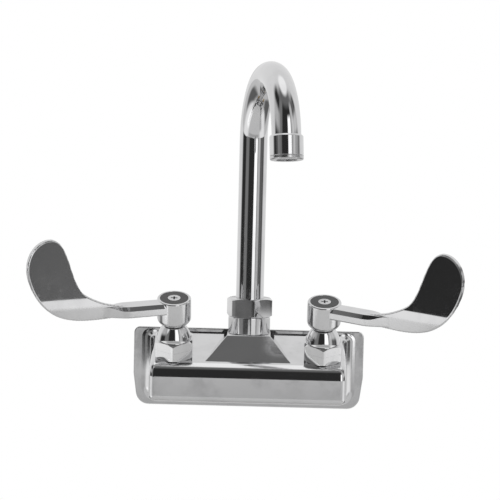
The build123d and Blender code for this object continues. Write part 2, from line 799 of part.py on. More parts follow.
with BuildPart() as spout_bush:
    ring(spout_base, bush_bottom, bush_flange_bottom, bush_radius)
    ring(spout_base, bush_flange_bottom, bush_flange_top, bush_flange_radius)
    ring(spout_base, bush_flange_top, bush_top, tube_radius - tube_wall - seal_gap)
    drill(spout_base, bush_bottom, bush_top, bush_bore_radius)
    for level in bush_seal_levels:
        with BuildSketch(spout_base.offset(level)) as groove:
            Circle(collar_thread_radius)
            Circle(bush_radius - bush_seal_section, mode=Mode.SUBTRACT)
        extrude(groove.sketch, amount=bush_seal_section + 2 * seal_gap, mode=Mode.SUBTRACT)
finish(spout_bush, "spout_bush")

bush_bead = bush_seal_section / 2 - seal_gap
with BuildPart() as bush_seals:
    for level in bush_seal_levels:
        middle = level + bush_seal_section / 2 + seal_gap
        with BuildSketch(spout_profile_plane) as bead:
            with Locations((bush_radius - bush_seal_section + seal_gap + bush_bead, middle)):
                Circle(bush_bead)
        revolve(bead.sketch, axis=spout_axis)
finish(bush_seals, "bush_seals")

with BuildPart() as thrust_ring:
    ring(spout_base, thrust_bottom, thrust_top, bush_flange_radius, tube_radius + 3 * seat_gap)
finish(thrust_ring, "thrust_ring")


# Gooseneck: one tube up, over and down to the tip

up = Vector(0, 0, 1)
spout_heading = Vector(sin(radians(spout_turn)), -cos(radians(spout_turn)), 0)
tilt_sin = sin(radians(outlet_tilt))
tilt_cos = cos(radians(outlet_tilt))
outlet_direction = spout_heading * tilt_sin - up * tilt_cos
riser_top = spout_base.origin + up * (tube_bottom + riser_height)
arch_middle = riser_top + spout_heading * arch_radius
arch_end = arch_middle + (spout_heading * tilt_cos + up * tilt_sin) * arch_radius
outlet_plane = Plane(origin=arch_end, x_dir=spout_heading.cross(up), z_dir=outlet_direction)
outlet_axis = Axis(arch_end, outlet_direction)
tube_end = arch_end + outlet_direction * (tube_seat - seat_gap)
tip_radius = tube_radius + tip_sleeve
aerator_thread_radius = tip_radius - thread_gap - tip_wall
aerator_bore_radius = aerator_thread_radius - aerator_wall

with BuildPart() as gooseneck_tube:
    with BuildLine() as path:
        rise = Line(spout_base.origin + up * tube_bottom, riser_top)
        bend = TangentArc(rise @ 1, arch_end, tangent=up)
        Line(bend @ 1, tube_end)
    with BuildSketch(spout_base.offset(tube_bottom)) as section:
        Circle(tube_radius)
        Circle(tube_radius - tube_wall, mode=Mode.SUBTRACT)
    sweep(section.sketch, path=path.line)
finish(gooseneck_tube, "gooseneck_tube")

with BuildPart() as spout_tip:
    ring(outlet_plane, 0.0, tip_length, tip_radius)
    upper = spout_tip.edges().filter_by(GeomType.CIRCLE).sort_by(outlet_axis)[0]
    chamfer(upper, tip_shoulder, tip_sleeve - thread_gap - seat_gap)
    drill(outlet_plane, 0.0, tube_seat, tube_radius + thread_gap)
    drill(outlet_plane, tube_seat, tube_seat + tip_step, tube_radius - tube_wall)
    drill(outlet_plane, tube_seat + tip_step, tip_length, aerator_thread_radius + thread_gap)
finish(spout_tip, "spout_tip")

aerator_top = tube_seat + tip_step + aerator_gasket_thickness + seat_gap
rim_top = tip_length + seat_gap
rim_bottom = rim_top + aerator_rim_height
lip_top = rim_bottom - aerator_lip_height

with BuildPart() as aerator_body:
    ring(outlet_plane, aerator_top, rim_top, aerator_thread_radius)
    ring(outlet_plane, rim_top, rim_bottom, tip_radius)
    foot = aerator_body.edges().filter_by(GeomType.CIRCLE).sort_by(outlet_axis)[-1]
    fillet(foot, aerator_rim_height / 3)
    drill(outlet_plane, aerator_top, lip_top, aerator_bore_radius)
    drill(outlet_plane, lip_top, rim_bottom, aerator_bore_radius - aerator_lip)
finish(aerator_body, "aerator_body")

with BuildPart() as aerator_gasket:
    ring(outlet_plane, tube_seat + tip_step + seat_gap / 2, aerator_top - seat_gap / 2,
         aerator_thread_radius - seal_gap, aerator_bore_radius)
finish(aerator_gasket, "aerator_gasket")

screen_bottom = lip_top - seat_gap
screen_top = screen_bottom - screen_thickness
straightener_bottom = screen_top - seat_gap
straightener_top = straightener_bottom - straightener_thickness

with BuildPart() as aerator_screen:
    ring(outlet_plane, screen_top, screen_bottom, aerator_bore_radius - seal_gap)
    with BuildSketch(outlet_plane.offset(screen_top)) as mesh:
        with GridLocations(screen_pitch, screen_pitch, screen_count, screen_count):
            Rectangle(screen_pitch - screen_wire, screen_pitch - screen_wire)
        Circle(aerator_bore_radius - aerator_lip, mode=Mode.INTERSECT)
    extrude(mesh.sketch, amount=screen_thickness, mode=Mode.SUBTRACT)
finish(aerator_screen, "aerator_screen")

with BuildPart() as flow_straightener:
    ring(outlet_plane, straightener_top, straightener_bottom, aerator_bore_radius - seal_gap)
    with BuildSketch(outlet_plane.offset(straightener_top)) as jets:
        Circle(jet_hole_radius)
        with PolarLocations(inner_jet_ring_radius, inner_jet_count):
            Circle(jet_hole_radius)
        with PolarLocations(outer_jet_ring_radius, outer_jet_count):
            Circle(jet_hole_radius)
    extrude(jets.sketch, amount=straightener_thickness, mode=Mode.SUBTRACT)
finish(flow_straightener, "flow_straightener")
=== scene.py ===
import json
from math import atan2, cos, degrees, pi, radians, sin, sqrt, tan

import bmesh
import bpy
import numpy as np
from mathutils import Matrix


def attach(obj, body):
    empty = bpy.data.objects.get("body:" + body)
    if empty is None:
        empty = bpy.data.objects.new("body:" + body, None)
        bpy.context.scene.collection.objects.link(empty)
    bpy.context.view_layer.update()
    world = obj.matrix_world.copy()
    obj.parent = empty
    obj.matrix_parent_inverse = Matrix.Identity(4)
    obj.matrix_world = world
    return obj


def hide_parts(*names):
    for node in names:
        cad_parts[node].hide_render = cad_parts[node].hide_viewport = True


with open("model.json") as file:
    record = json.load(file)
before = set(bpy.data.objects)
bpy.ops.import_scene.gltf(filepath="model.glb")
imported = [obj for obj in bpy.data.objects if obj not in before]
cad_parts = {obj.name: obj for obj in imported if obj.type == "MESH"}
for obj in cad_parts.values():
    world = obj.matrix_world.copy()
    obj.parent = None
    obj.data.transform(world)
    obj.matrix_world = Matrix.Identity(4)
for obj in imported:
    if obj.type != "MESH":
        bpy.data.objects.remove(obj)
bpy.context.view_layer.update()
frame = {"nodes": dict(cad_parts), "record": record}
nodes = frame["nodes"]
print("frame loaded:", len(nodes), "solids")

# Everything is in millimetres, in the frame of the solids, and goes into the mesh in metres.
millimetre = 0.001
weld = 2e-6  # metres; points closer than this become one
slope = radians(20.0)  # of the deck; the valves stand square to it
valves = {"hot": -1, "cold": 1}
valvePlace = {"spacing": 101.6, "forward": 36.4, "height": 13.744}


# Axes, loops and grids

def makeAxes(origin, across, along):
    # a place to build in: local x is across, local z is along, local y = z x x
    across = np.array(across, float) / np.linalg.norm(across)
    along = np.array(along, float) / np.linalg.norm(along)
    return np.array(origin, float), across, np.cross(along, across), along


def place(axes, local):
    # world point = origin + x * across + y * sideways + z * along
    origin, across, sideways, along = axes
    return origin + local[..., :1] * across + local[..., 1:2] * sideways + local[..., 2:3] * along


def valveAxes(side):
    base = (side * valvePlace["spacing"] / 2, -valvePlace["forward"], valvePlace["height"])
    return makeAxes(base, (1, 0, 0), (0, -sin(slope), cos(slope)))


def inletAxes(side):
    return makeAxes((side * valvePlace["spacing"] / 2, 0, 0), (1, 0, 0), (0, -1, 0))


def roundCorners(points, radius, steps=5, closed=True):
    # each corner becomes an arc: its centre lies on the bisector, at radius / sin(half the corner's angle)
    straight = 0.002  # radians; a corner that turns less stays as it is
    longest = 0.49  # the share of a side that one arc may take
    past, apart = 1.01, 0.004  # the point beside an arc: its distance over the arc's, and a share of the side
    points = np.array(points, float)
    back = np.roll(points, 1, 0) - points
    ahead = np.roll(points, -1, 0) - points
    backRun = np.linalg.norm(back, axis=1)
    aheadRun = np.linalg.norm(ahead, axis=1)
    back = back / backRun[:, None]
    ahead = ahead / aheadRun[:, None]
    half = np.arccos(np.clip((back * ahead).sum(1), -1, 1)) / 2
    bend = pi - 2 * half
    run = np.minimum(np.broadcast_to(radius, half.shape) / np.tan(half),
                     longest * np.minimum(backRun, aheadRun))
    run = np.where(bend < straight, 0, run)
    if not closed:
        run[[0, -1]] = 0
    reach = run * np.tan(half)
    bisector = back + ahead
    bisector = bisector / np.maximum(np.linalg.norm(bisector, axis=1), 1e-9)[:, None]
    centre = points + bisector * (reach / np.sin(half))[:, None]
    first = points + back * run[:, None] - centre
    last = points + ahead * run[:, None] - centre
    share = np.linspace(0, 1, steps)
    bend = np.maximum(bend, straight)[:, None]
    firstPart = np.sin((1 - share) * bend) / np.sin(bend)
    lastPart = np.sin(share * bend) / np.sin(bend)
    arcs = centre[:, None] + firstPart[..., None] * first[:, None] + lastPart[..., None] * last[:, None]
    # one more point beside each end of the arc keeps the straight runs flat in the light
    rounded = run > 0
    before = points + back * (run * past + rounded * apart * backRun)[:, None]
    after = points + ahead * (run * past + rounded * apart * aheadRun)[:, None]
    arcs = np.concatenate([before[:, None], arcs, after[:, None]], 1)
    arcs = np.where(rounded[:, None, None], arcs, points[:, None])
    return arcs.reshape(-1, points.shape[1])


def arcThrough(start, middle, end, steps):
    # the circle through three points, walked from start to end by its angle
    (ax, ay), (bx, by), (cx, cy) = start, middle, end
    a, b, c = ax**2 + ay**2, bx**2 + by**2, cx**2 + cy**2
    twice = 2 * (ax * (by - cy) + bx * (cy - ay) + cx * (ay - by))
    centreX = (a * (by - cy) + b * (cy - ay) + c * (ay - by)) / twice
    centreY = (a * (cx - bx) + b * (ax - cx) + c * (bx - ax)) / twice
    radius = sqrt((ax - centreX) ** 2 + (ay - centreY) ** 2)
    first = atan2(ay - centreY, ax - centreX)
    last = atan2(cy - centreY, cx - centreX)
    angle = np.linspace(first, last, steps)
    return np.stack([centreX + radius * np.cos(angle), centreY + radius * np.sin(angle)], -1)


def arcFrom(start, heading, end, steps):
    # the arc that leaves start along heading and ends at end: radius = chord^2 / (2 * chord across heading)
    start, end = np.array(start, float), np.array(end, float)
    heading = np.array(heading, float) / np.linalg.norm(heading)
    chord = end - start
    across = np.array([-heading[1], heading[0]])
    radius = chord @ chord / (2 * (chord @ across))
    centre = start + across * radius
    swing = 2 * atan2(chord @ across, chord @ heading)
    turn = np.linspace(0, swing, steps)
    first = start - centre
    path = np.stack([first[0] * np.cos(turn) - first[1] * np.sin(turn),
                     first[0] * np.sin(turn) + first[1] * np.cos(turn)], -1) + centre
    leave = np.array([heading[0] * cos(swing) - heading[1] * sin(swing),
                      heading[0] * sin(swing) + heading[1] * cos(swing)])
    return path, leave


def hermite(start, startWay, end, endWay, steps):
    # cubic between two points with both headings, each as long as the chord
    start, end = np.array(start, float), np.array(end, float)
    chord = np.linalg.norm(end - start)
    startWay = np.array(startWay, float) / np.linalg.norm(startWay) * chord
    endWay = np.array(endWay, float) / np.linalg.norm(endWay) * chord
    s = np.linspace(0, 1, steps)[:, None]
    return ((2 * s**3 - 3 * s**2 + 1) * start + (s**3 - 2 * s**2 + s) * startWay
            + (3 * s**2 - 2 * s**3) * end + (s**3 - s**2) * endWay)


def evenly(path, count):
    # the same path with points at even distances
    walked = np.concatenate([[0], np.cumsum(np.linalg.norm(np.diff(path, axis=0), axis=1))])
    stops = np.linspace(0, walked[-1], count)
    return np.stack([np.interp(stops, walked, path[:, k]) for k in range(path.shape[1])], -1)


def turned(axes, profile, count):
    # a profile of (radius, level) spun round the axis: x = r cos a, y = r sin a, z = level
    angle = np.linspace(0, 2 * pi, count, endpoint=False)
    profile = np.array(profile, float)
    radius, level = profile[:, :1], profile[:, 1:]
    grid = np.stack([radius * np.cos(angle), radius * np.sin(angle), level + 0 * angle], -1)
    return place(axes, grid)


def closedTurn(axes, corners, radius, count):
    # a closed profile of rounded corners, spun round the axis
    loop = roundCorners(corners, radius)
    return turned(axes, np.concatenate([loop, loop[:1]]), count)


def ringTurn(axes, plan, count=96):
    # a flat ring of four rounded corners, spun round the axis
    inside, outside, low, high = (plan[key] for key in ("inside", "outside", "low", "high"))
    corners = [(inside, low), (outside, low), (outside, high), (inside, high)]
    return closedTurn(axes, corners, plan["edge"], count)


def capped(grid):
    # closes both ends of a grid with their middle points
    first = np.broadcast_to(grid[0].mean(0), grid[:1].shape)
    last = np.broadcast_to(grid[-1].mean(0), grid[:1].shape)
    return np.concatenate([first, grid, last])


def eased(value, low, high):
    # 0 below low, 1 above high, and 3 t^2 - 2 t^3 between them
    t = np.clip((value - low) / (high - low), 0, 1)
    return t * t * (3 - 2 * t)


def makePiece(name, body, replaced, slot, grids, sharpAngle=32.0):
    # grids are rows x loop x 3 in millimetres, and every loop closes on itself
    points, quads, start = [], [], 0
    for grid in grids:
        rows, loop = grid.shape[:2]
        index = start + np.arange(rows * loop).reshape(rows, loop)
        index = np.concatenate([index, index[:, :1]], 1)
        corners = [index[:-1, :-1], index[:-1, 1:], index[1:, 1:], index[1:, :-1]]
        quads.append(np.stack(corners, -1).reshape(-1, 4))
        points.append(grid.reshape(-1, 3))
        start += rows * loop
    mesh = bpy.data.meshes.new(name)
    mesh.from_pydata(np.concatenate(points) * millimetre, [], np.concatenate(quads))
    shell = bmesh.new()
    shell.from_mesh(mesh)
    bmesh.ops.remove_doubles(shell, verts=shell.verts, dist=weld)
    bmesh.ops.recalc_face_normals(shell, faces=shell.faces)
    shell.to_mesh(mesh)
    shell.free()
    mesh.shade_smooth()
    mesh.set_sharp_from_angle(angle=radians(sharpAngle))
    mesh.materials.append(finishOfSlot[slot])
    piece = bpy.data.objects.new(name, mesh)
    bpy.context.scene.collection.objects.link(piece)
    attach(piece, body)
    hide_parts(*replaced)


# Shader maths: an output of a node with the operators of arithmetic

class Value:
    def __init__(self, maker, socket):
        self.maker = maker
        self.socket = socket

    def __add__(self, other):
        return self.maker.maths("ADD", self, other)

    def __radd__(self, other):
        return self.maker.maths("ADD", other, self)

    def __sub__(self, other):
        return self.maker.maths("SUBTRACT", self, other)

    def __rsub__(self, other):
        return self.maker.maths("SUBTRACT", other, self)

    def __mul__(self, other):
        return self.maker.maths("MULTIPLY", self, other)

    def __rmul__(self, other):
        return self.maker.maths("MULTIPLY", other, self)

    def rise(self, low, high):
        # 0 below low, 1 above high, eased between them
        return self.maker.node("ShaderNodeMapRange", {"interpolation_type": "SMOOTHSTEP"},
                               {"Value": self, "From Min": low, "From Max": high})

    def band(self, low, high, soft):
        # 1 from low to high, eased to 0 over twice soft at both ends
        return self.rise(low - soft, low + soft) * (1 - self.rise(high - soft, high + soft))


class Maker:
    def __init__(self, tree):
        self.tree = tree
        tree.nodes.clear()

    def node(self, kind, settings=None, values=None, output=0):
        made = self.tree.nodes.new(kind)
        for key, setting in (settings or {}).items():
            setattr(made, key, setting)
        for key, value in (values or {}).items():
            if isinstance(value, Value):
                self.tree.links.new(value.socket, made.inputs[key])
            else:
                made.inputs[key].default_value = value
        return Value(self, made.outputs[output])

    def maths(self, operation, *values):
        return self.node("ShaderNodeMath", {"operation": operation}, dict(enumerate(values)))

    def blend(self, factor, first, second):
        # plain colours of three numbers; 6 and 7 are the colour inputs of the mix node, 2 its colour output
        values = {"Factor": factor, 6: (*first, 1), 7: (*second, 1)}
        return self.node("ShaderNodeMix", {"data_type": "RGBA"}, values, 2)

    def spot(self):
        # the shaded point on the surface, in metres
        return self.node("ShaderNodeTexCoord", output="Object")

    def noise(self, vector, scale, detail=2.0, roughness=0.5):
        return self.node("ShaderNodeTexNoise", None, {"Vector": vector, "Scale": scale, "Detail": detail,
                                                      "Roughness": roughness})

    def stretched(self, vector, scale):
        return self.node("ShaderNodeMapping", None, {"Vector": vector, "Scale": scale})

    def bump(self, height, distance, strength=1.0, normal=None):
        values = {"Height": height, "Distance": distance, "Strength": strength}
        if normal:
            values["Normal"] = normal
        return self.node("ShaderNodeBump", None, values)

    def surface(self, shader, kind="ShaderNodeOutputMaterial"):
        out = self.tree.nodes.new(kind)
        self.tree.links.new(shader.socket, out.inputs["Surface"])

    def gloss(self, colour, rough, normal, metal=1.0):
        self.surface(self.node("ShaderNodeBsdfPrincipled", None, {
            "Base Color": colour, "Metallic": metal, "Roughness": rough, "Normal": normal}))


def newMaterial(name):
    material = bpy.data.materials.new(name)
    material.use_nodes = True
    maker = Maker(material.node_tree)
    return material, maker, maker.spot()


# Finishes

chromeFinishes = {
    "castChrome": {"bright": 0.69, "dull": 0.60, "smooth": 0.06, "haze": 0.06, "wave": (9e-6, 42.0)},
    "turnedChrome": {"bright": 0.70, "dull": 0.61, "smooth": 0.035, "haze": 0.05, "wave": (4e-6, 90.0)},
    "tubeChrome": {"bright": 0.70, "dull": 0.62, "smooth": 0.035, "haze": 0.05, "wave": (9e-6, 55.0)},
    "handleChrome": {"bright": 0.69, "dull": 0.60, "smooth": 0.045, "haze": 0.06, "wave": (14e-6, 48.0)},
    "satinChrome": {"bright": 0.60, "dull": 0.50, "smooth": 0.17, "haze": 0.10, "wave": (4e-6, 90.0)},
    "screwChrome": {"bright": 0.64, "dull": 0.50, "smooth": 0.14, "haze": 0.12, "wave": (6e-6, 200.0)},
}
plateWear = {"hazeScale": 38.0, "haze": (0.42, 0.72), "dropScale": 150.0, "drop": (0.16, 0.24),
             "ring": (0.17, 0.23, 0.03), "wetScale": 24.0, "wet": (0.56, 0.66), "wipeScale": 1900.0,
             "wipeStretch": (1.0, 1.0, 0.08), "hazeDulls": 0.7, "stainDulls": 0.3, "blue": 1.008,
             "dullBlue": 1.01, "stainRough": 0.05, "wipeRough": 0.018, "wipeDepth": 0.6, "markDepth": 0.5e-6,
             "markStrength": 0.35}


def chromeFinish(name):
    # polished plate: slow waves in the metal, a faint haze, dried drops and hairline wipe marks
    plan, wear = chromeFinishes[name], plateWear
    material, maker, spot = newMaterial(name)
    haze = maker.noise(spot, wear["hazeScale"], detail=4.0, roughness=0.6).rise(*wear["haze"])
    drops = maker.node("ShaderNodeTexVoronoi", {"feature": "F1"},
                       {"Vector": spot, "Scale": wear["dropScale"]})
    wet = maker.noise(spot, wear["wetScale"], detail=1.0).rise(*wear["wet"])
    stain = (1 - drops.rise(*wear["drop"])) * wet
    ringMark = drops.band(*wear["ring"]) * wet
    wipe = maker.noise(maker.stretched(spot, wear["wipeStretch"]), wear["wipeScale"], roughness=0.6)
    bright, dull = plan["bright"], plan["dull"]
    colour = maker.blend(haze * wear["hazeDulls"] + stain * wear["stainDulls"],
                         (bright, bright, bright * wear["blue"]), (dull, dull, dull * wear["dullBlue"]))
    rough = haze * plan["haze"] + stain * wear["stainRough"] + wipe * wear["wipeRough"] + plan["smooth"]
    depth, scale = plan["wave"]
    wave = maker.bump(maker.noise(spot, scale, detail=1.0, roughness=0.4), depth)
    normal = maker.bump(wipe * wear["wipeDepth"] + ringMark, wear["markDepth"], wear["markStrength"], wave)
    maker.gloss(colour, rough, normal)
    return material


brassWear = {"clean": (0.72, 0.54, 0.27), "brown": (0.34, 0.23, 0.11), "cover": 0.8, "tarnishScale": 70.0,
             "tarnish": (0.40, 0.70), "speckScale": 900.0, "lineScale": (60.0, 2600.0, 60.0), "line": 0.6,
             "speck": 0.4, "depth": 8e-6, "strength": 0.5, "smooth": 0.22, "tarnishRough": 0.22,
             "speckRough": 0.08}


def brassFinish():
    # cut brass: turning lines along the thread, browned where hands and water reached it
    wear = brassWear
    material, maker, spot = newMaterial("plainBrass")
    tarnish = maker.noise(spot, wear["tarnishScale"], detail=5.0, roughness=0.65).rise(*wear["tarnish"])
    speck = maker.noise(spot, wear["speckScale"])
    lines = maker.noise(maker.stretched(spot, wear["lineScale"]), 1.0)
    colour = maker.blend(tarnish * wear["cover"], wear["clean"], wear["brown"])
    rough = tarnish * wear["tarnishRough"] + speck * wear["speckRough"] + wear["smooth"]
    normal = maker.bump(lines * wear["line"] + speck * wear["speck"], wear["depth"], wear["strength"])
    maker.gloss(colour, rough, normal)
    return material


steelWear = {"clean": (0.56, 0.56, 0.57), "limed": (0.36, 0.35, 0.33), "cover": 0.7, "limeScale": 260.0,
             "lime": (0.5, 0.75), "grainScale": 1400.0, "depth": 6e-6, "strength": 0.4, "smooth": 0.24,
             "grainRough": 0.12, "limeRough": 0.2}


def steelFinish():
    # spring and screen steel: a fine grain, with lime where water dried
    wear = steelWear
    material, maker, spot = newMaterial("screenSteel")
    grain = maker.noise(spot, wear["grainScale"])
    lime = maker.noise(spot, wear["limeScale"], detail=3.0, roughness=0.6).rise(*wear["lime"])
    colour = maker.blend(lime * wear["cover"], wear["clean"], wear["limed"])
    rough = grain * wear["grainRough"] + lime * wear["limeRough"] + wear["smooth"]
    maker.gloss(colour, rough, maker.bump(grain, wear["depth"], wear["strength"]))
    return material


softFinishes = {
    "blackRubber": {"colour": (0.022, 0.022, 0.023), "worn": (0.045, 0.044, 0.043), "toneScale": 80.0,
                    "grainScale": 1500.0, "grain": 12e-6, "rough": 0.52, "rub": 0.14},
    "whitePlastic": {"colour": (0.80, 0.80, 0.78), "worn": (0.70, 0.69, 0.65), "toneScale": 160.0,
                     "grainScale": 1200.0, "grain": 5e-6, "rough": 0.40, "rub": 0.12},
    "ceramicDisc": {"colour": (0.86, 0.86, 0.84), "worn": (0.80, 0.80, 0.77), "toneScale": 200.0,
                    "grainScale": 2200.0, "grain": 2e-6, "rough": 0.16, "rub": 0.08},
    "hotIndex": {"colour": (0.017, 0.016, 0.017), "worn": (0.040, 0.038, 0.038), "toneScale": 240.0,
                 "grainScale": 1300.0, "grain": 4e-6, "rough": 0.24, "rub": 0.14},
    "coldIndex": {"colour": (0.017, 0.017, 0.018), "worn": (0.038, 0.039, 0.040), "toneScale": 240.0,
                  "grainScale": 1300.0, "grain": 4e-6, "rough": 0.24, "rub": 0.14},
}
softWear = {"tone": (0.35, 0.7), "grainRough": 0.06, "strength": 0.5}


def softFinish(name):
    # rubber, plastic and ceramic: a mould grain, slow changes of tone, dust or rub marks
    plan, wear = softFinishes[name], softWear
    material, maker, spot = newMaterial(name)
    tone = maker.noise(spot, plan["toneScale"], detail=3.0, roughness=0.6).rise(*wear["tone"])
    grain = maker.noise(spot, plan["grainScale"])
    colour = maker.blend(tone, plan["colour"], plan["worn"])
    rough = tone * plan["rub"] + grain * wear["grainRough"] + plan["rough"]
    maker.gloss(colour, rough, maker.bump(grain, plan["grain"], wear["strength"]), 0.0)
    return material


softSlots = {"black_rubber": "blackRubber", "white_plastic": "whitePlastic", "ceramic": "ceramicDisc",
             "hot_index": "hotIndex", "cold_index": "coldIndex"}
finishOfSlot = {name.replace("Chrome", "_chrome"): chromeFinish(name) for name in chromeFinishes}
finishOfSlot["plain_brass"] = brassFinish()
finishOfSlot["screen_steel"] = steelFinish()
for slotName, finishName in softSlots.items():
    finishOfSlot[slotName] = softFinish(finishName)
for part in frame["record"]["subparts"]:
    mesh = nodes[part["node"]].data
    mesh.materials.clear()
    mesh.materials.append(finishOfSlot[part["material_slot"]])
print("finishes:", ", ".join(finishOfSlot))


# Hexagons: round each level the radius is that of the flats or of a turned cone, whichever is less

def hexRadius(flat, edge, sectorSteps=8, edgeSteps=5):
    # a hexagon with its upright edges rounded: returns the angles and the radius at each
    sector, halfSector = radians(60), radians(30)
    corner = (flat - edge) / cos(halfSector)
    start = atan2(edge * sin(halfSector), corner + edge * cos(halfSector))
    onEdge = np.linspace(-start, start, edgeSteps)
    onFlat = np.linspace(start, sector - start, sectorSteps)[1:-1]
    edgeRadius = corner * np.cos(onEdge) + np.sqrt(edge**2 - (corner * np.sin(onEdge)) ** 2)
    flatRadius = flat / np.cos(halfSector - onFlat)
    angle = np.concatenate([onEdge, onFlat])
    radius = np.concatenate([edgeRadius, flatRadius])
    angle = (np.arange(6)[:, None] * sector + angle).ravel()
    return angle, np.tile(radius, 6)


def hexBlock(axes, plan, after=()):
    # the plan holds the round profiles before and after the hexagon as (radius, level); after adds to them
    flat, cut = plan["flat"], plan["cut"]
    before, after = np.array(plan["before"], float), np.array([*plan["after"], *after], float)
    angle, radius = hexRadius(flat, plan["edge"])
    corner = flat / cos(radians(30))
    reach = corner + cut
    fall = cut * (reach - flat) / (corner - flat)
    drop = (radius - flat) * fall / (reach - flat)
    share = np.linspace(0, 1, 5)[:, None]
    low = plan["low"] + (drop if "low" in plan["cuts"] else 0 * drop)
    high = plan["high"] - (drop if "high" in plan["cuts"] else 0 * drop)
    rows = []
    if "low" in plan["cuts"]:
        rows.append((flat + share[:-1] * (radius - flat), plan["low"] + share[:-1] * drop))
    rows.append((radius + 0 * share, low + share * (high - low)))
    if "high" in plan["cuts"]:
        rows.append((radius - share[1:] * (radius - flat), high + share[1:] * drop))
    radii = np.concatenate([before[:, :1] + 0 * angle, *[row[0] for row in rows], after[:, :1] + 0 * angle])
    levels = np.concatenate([before[:, 1:] + 0 * angle, *[row[1] for row in rows], after[:, 1:] + 0 * angle])
    around = angle + radians(plan["turn"])
    return place(axes, np.stack([radii * np.cos(around), radii * np.sin(around), levels], -1))


# Body casting; half, flangeHalf and the like are half widths, the rest are places along y and z

casting = {"half": 67.0, "floor": -17.0, "back": -2.0, "front": -53.0, "frontRadius": 11.0,
           "frontArcEnd": 110, "sideRadius": 4.0, "flangeFace": -5.0, "flangeHalf": 80.5,
           "flangeFootHalf": 77.5, "flangeTop": 27.603, "waist": -4.997, "flangeFoot": -27.0,
           "topRadius": 4.0, "footRadius": 9.0, "flangeEdge": 0.4, "flare": 8.0, "wedgeTop": 27.2,
           "wedgeFoot": 5.0, "wedgeHalf": 14.75, "wedgeFront": -34.4, "wedgeSide": 49.5, "wedgeEdge": 1.0,
           "wedgeCorner": 0.5}
support = {"side": 0.2, "deck": 0.3, "flange": 0.2}  # rows this far beside a rounding keep the flats flat
sunk = {"round": 0.03, "along": 0.02}  # how deep the flare's edges lie inside the casting
straightHalf = casting["half"] - casting["sideRadius"]
deckStart = (casting["front"] + casting["frontRadius"] * (1 - sin(slope)),
             casting["frontRadius"] * cos(slope))


def deckHeight(forward):
    # forward is -y
    return deckStart[1] + (-deckStart[0] - forward) * tan(slope)


def flangeLoop(inset):
    # six straight sides, the two upper and the two lower corners rounded; (x, z)
    half, foot = casting["flangeHalf"] - inset, casting["flangeFootHalf"] - inset
    top, bottom = casting["flangeTop"] - inset, casting["flangeFoot"] + inset
    corners = [(-half, top), (half, top), (half, casting["waist"]), (foot, bottom), (-foot, bottom),
               (-half, casting["waist"])]
    high, low = casting["topRadius"] - inset, casting["footRadius"] - inset
    return roundCorners(corners, np.array([high, high, 0, low, low, 0]), 9)


def plateRows(levels):
    # a plate from loops: each level is (y, inset)
    return capped(np.array([np.insert(flangeLoop(inset), 1, y, axis=1) for y, inset in levels]))


def sideLoop(inset, cornerRadius):
    # the casting from its end: floor, rounded foot, front, front arc, sloping deck; (y, z)
    front, floor, back = casting["front"] + inset, casting["floor"] + inset, casting["back"]
    angle = np.linspace(pi * 1.5, pi, 7)
    foot = np.stack([front + cornerRadius * (1 + np.cos(angle)), floor + cornerRadius * (1 + np.sin(angle))],
                    -1)
    angle = np.linspace(pi, radians(casting["frontArcEnd"]), 22)
    radius = casting["frontRadius"] - inset
    middle = casting["front"] + casting["frontRadius"]
    arc = np.stack([middle + radius * np.cos(angle), radius * np.sin(angle)], -1)
    y = np.concatenate([[arc[-1, 0] + support["deck"]], np.linspace(arc[-1, 0], back, 6)[1:]])
    deck = np.stack([y, arc[-1, 1] + (y - arc[-1, 0]) * tan(slope)], -1)
    flat = [(front, foot[-1, 1] + support["side"]), (front, -support["side"])]
    return np.concatenate([[(back, floor)], foot, flat, arc, deck])


def bodyShell():
    # side loops carried across: the end loops shrink by r (1 - cos a) while x gains r sin a
    radius, inner = casting["sideRadius"], straightHalf - support["side"]
    swing = np.linspace(pi / 2, 0, 9)
    across = np.concatenate([-(straightHalf + radius * np.sin(swing)), [-inner, inner],
                             straightHalf + radius * np.sin(swing[::-1])])
    inset = radius * (1 - np.cos(np.concatenate([swing, [0, 0], swing[::-1]])))
    return capped(np.array([np.insert(sideLoop(depth, radius - depth), 0, x, axis=1)
                            for x, depth in zip(across, inset)]))


def flareShell():
    # a hollow quarter round from the flange to the sides and the floor, melting away round the deck edge
    flare, side = casting["flare"], casting["sideRadius"]
    downTurn, footTurn = np.linspace(pi / 2, 0, 10), np.linspace(0, -pi / 2, 10)
    fade = np.cos(downTurn) ** 2
    rows = []
    for a in np.linspace(0, pi / 2, 13):
        away = flare * (1 - np.sin(a)) - sunk["round"]
        y = casting["flangeFace"] - flare * (1 - np.cos(a)) - sunk["along"]
        reach = side + away * fade - sunk["round"] * (1 - fade)
        corner = np.stack([straightHalf + reach * np.cos(downTurn),
                           deckHeight(-y) - side + reach * np.sin(downTurn)], -1)
        foot = np.stack([straightHalf + (side + away) * np.cos(footTurn),
                         casting["floor"] + side + (side + away) * np.sin(footTurn)], -1)
        right = np.concatenate([corner, foot])
        strip = np.concatenate([right, right[::-1] * (-1, 1)])
        rows.append(np.insert(strip, 1, y, axis=1))
    return np.array(rows)


def wedgeLine(half, growth):
    # one slanting side of the wedge with its upper edge rounded: (half width, level)
    top, low = casting["wedgeTop"], casting["wedgeFoot"]
    steps = 8
    perCorner = steps + 2
    line = roundCorners([(half + (top - low) * growth, low), (half, top), (0, top)], casting["wedgeEdge"],
                        steps, False)
    return line[perCorner - 1:2 * perCorner]  # the corners at both ends aren't rounded and count once


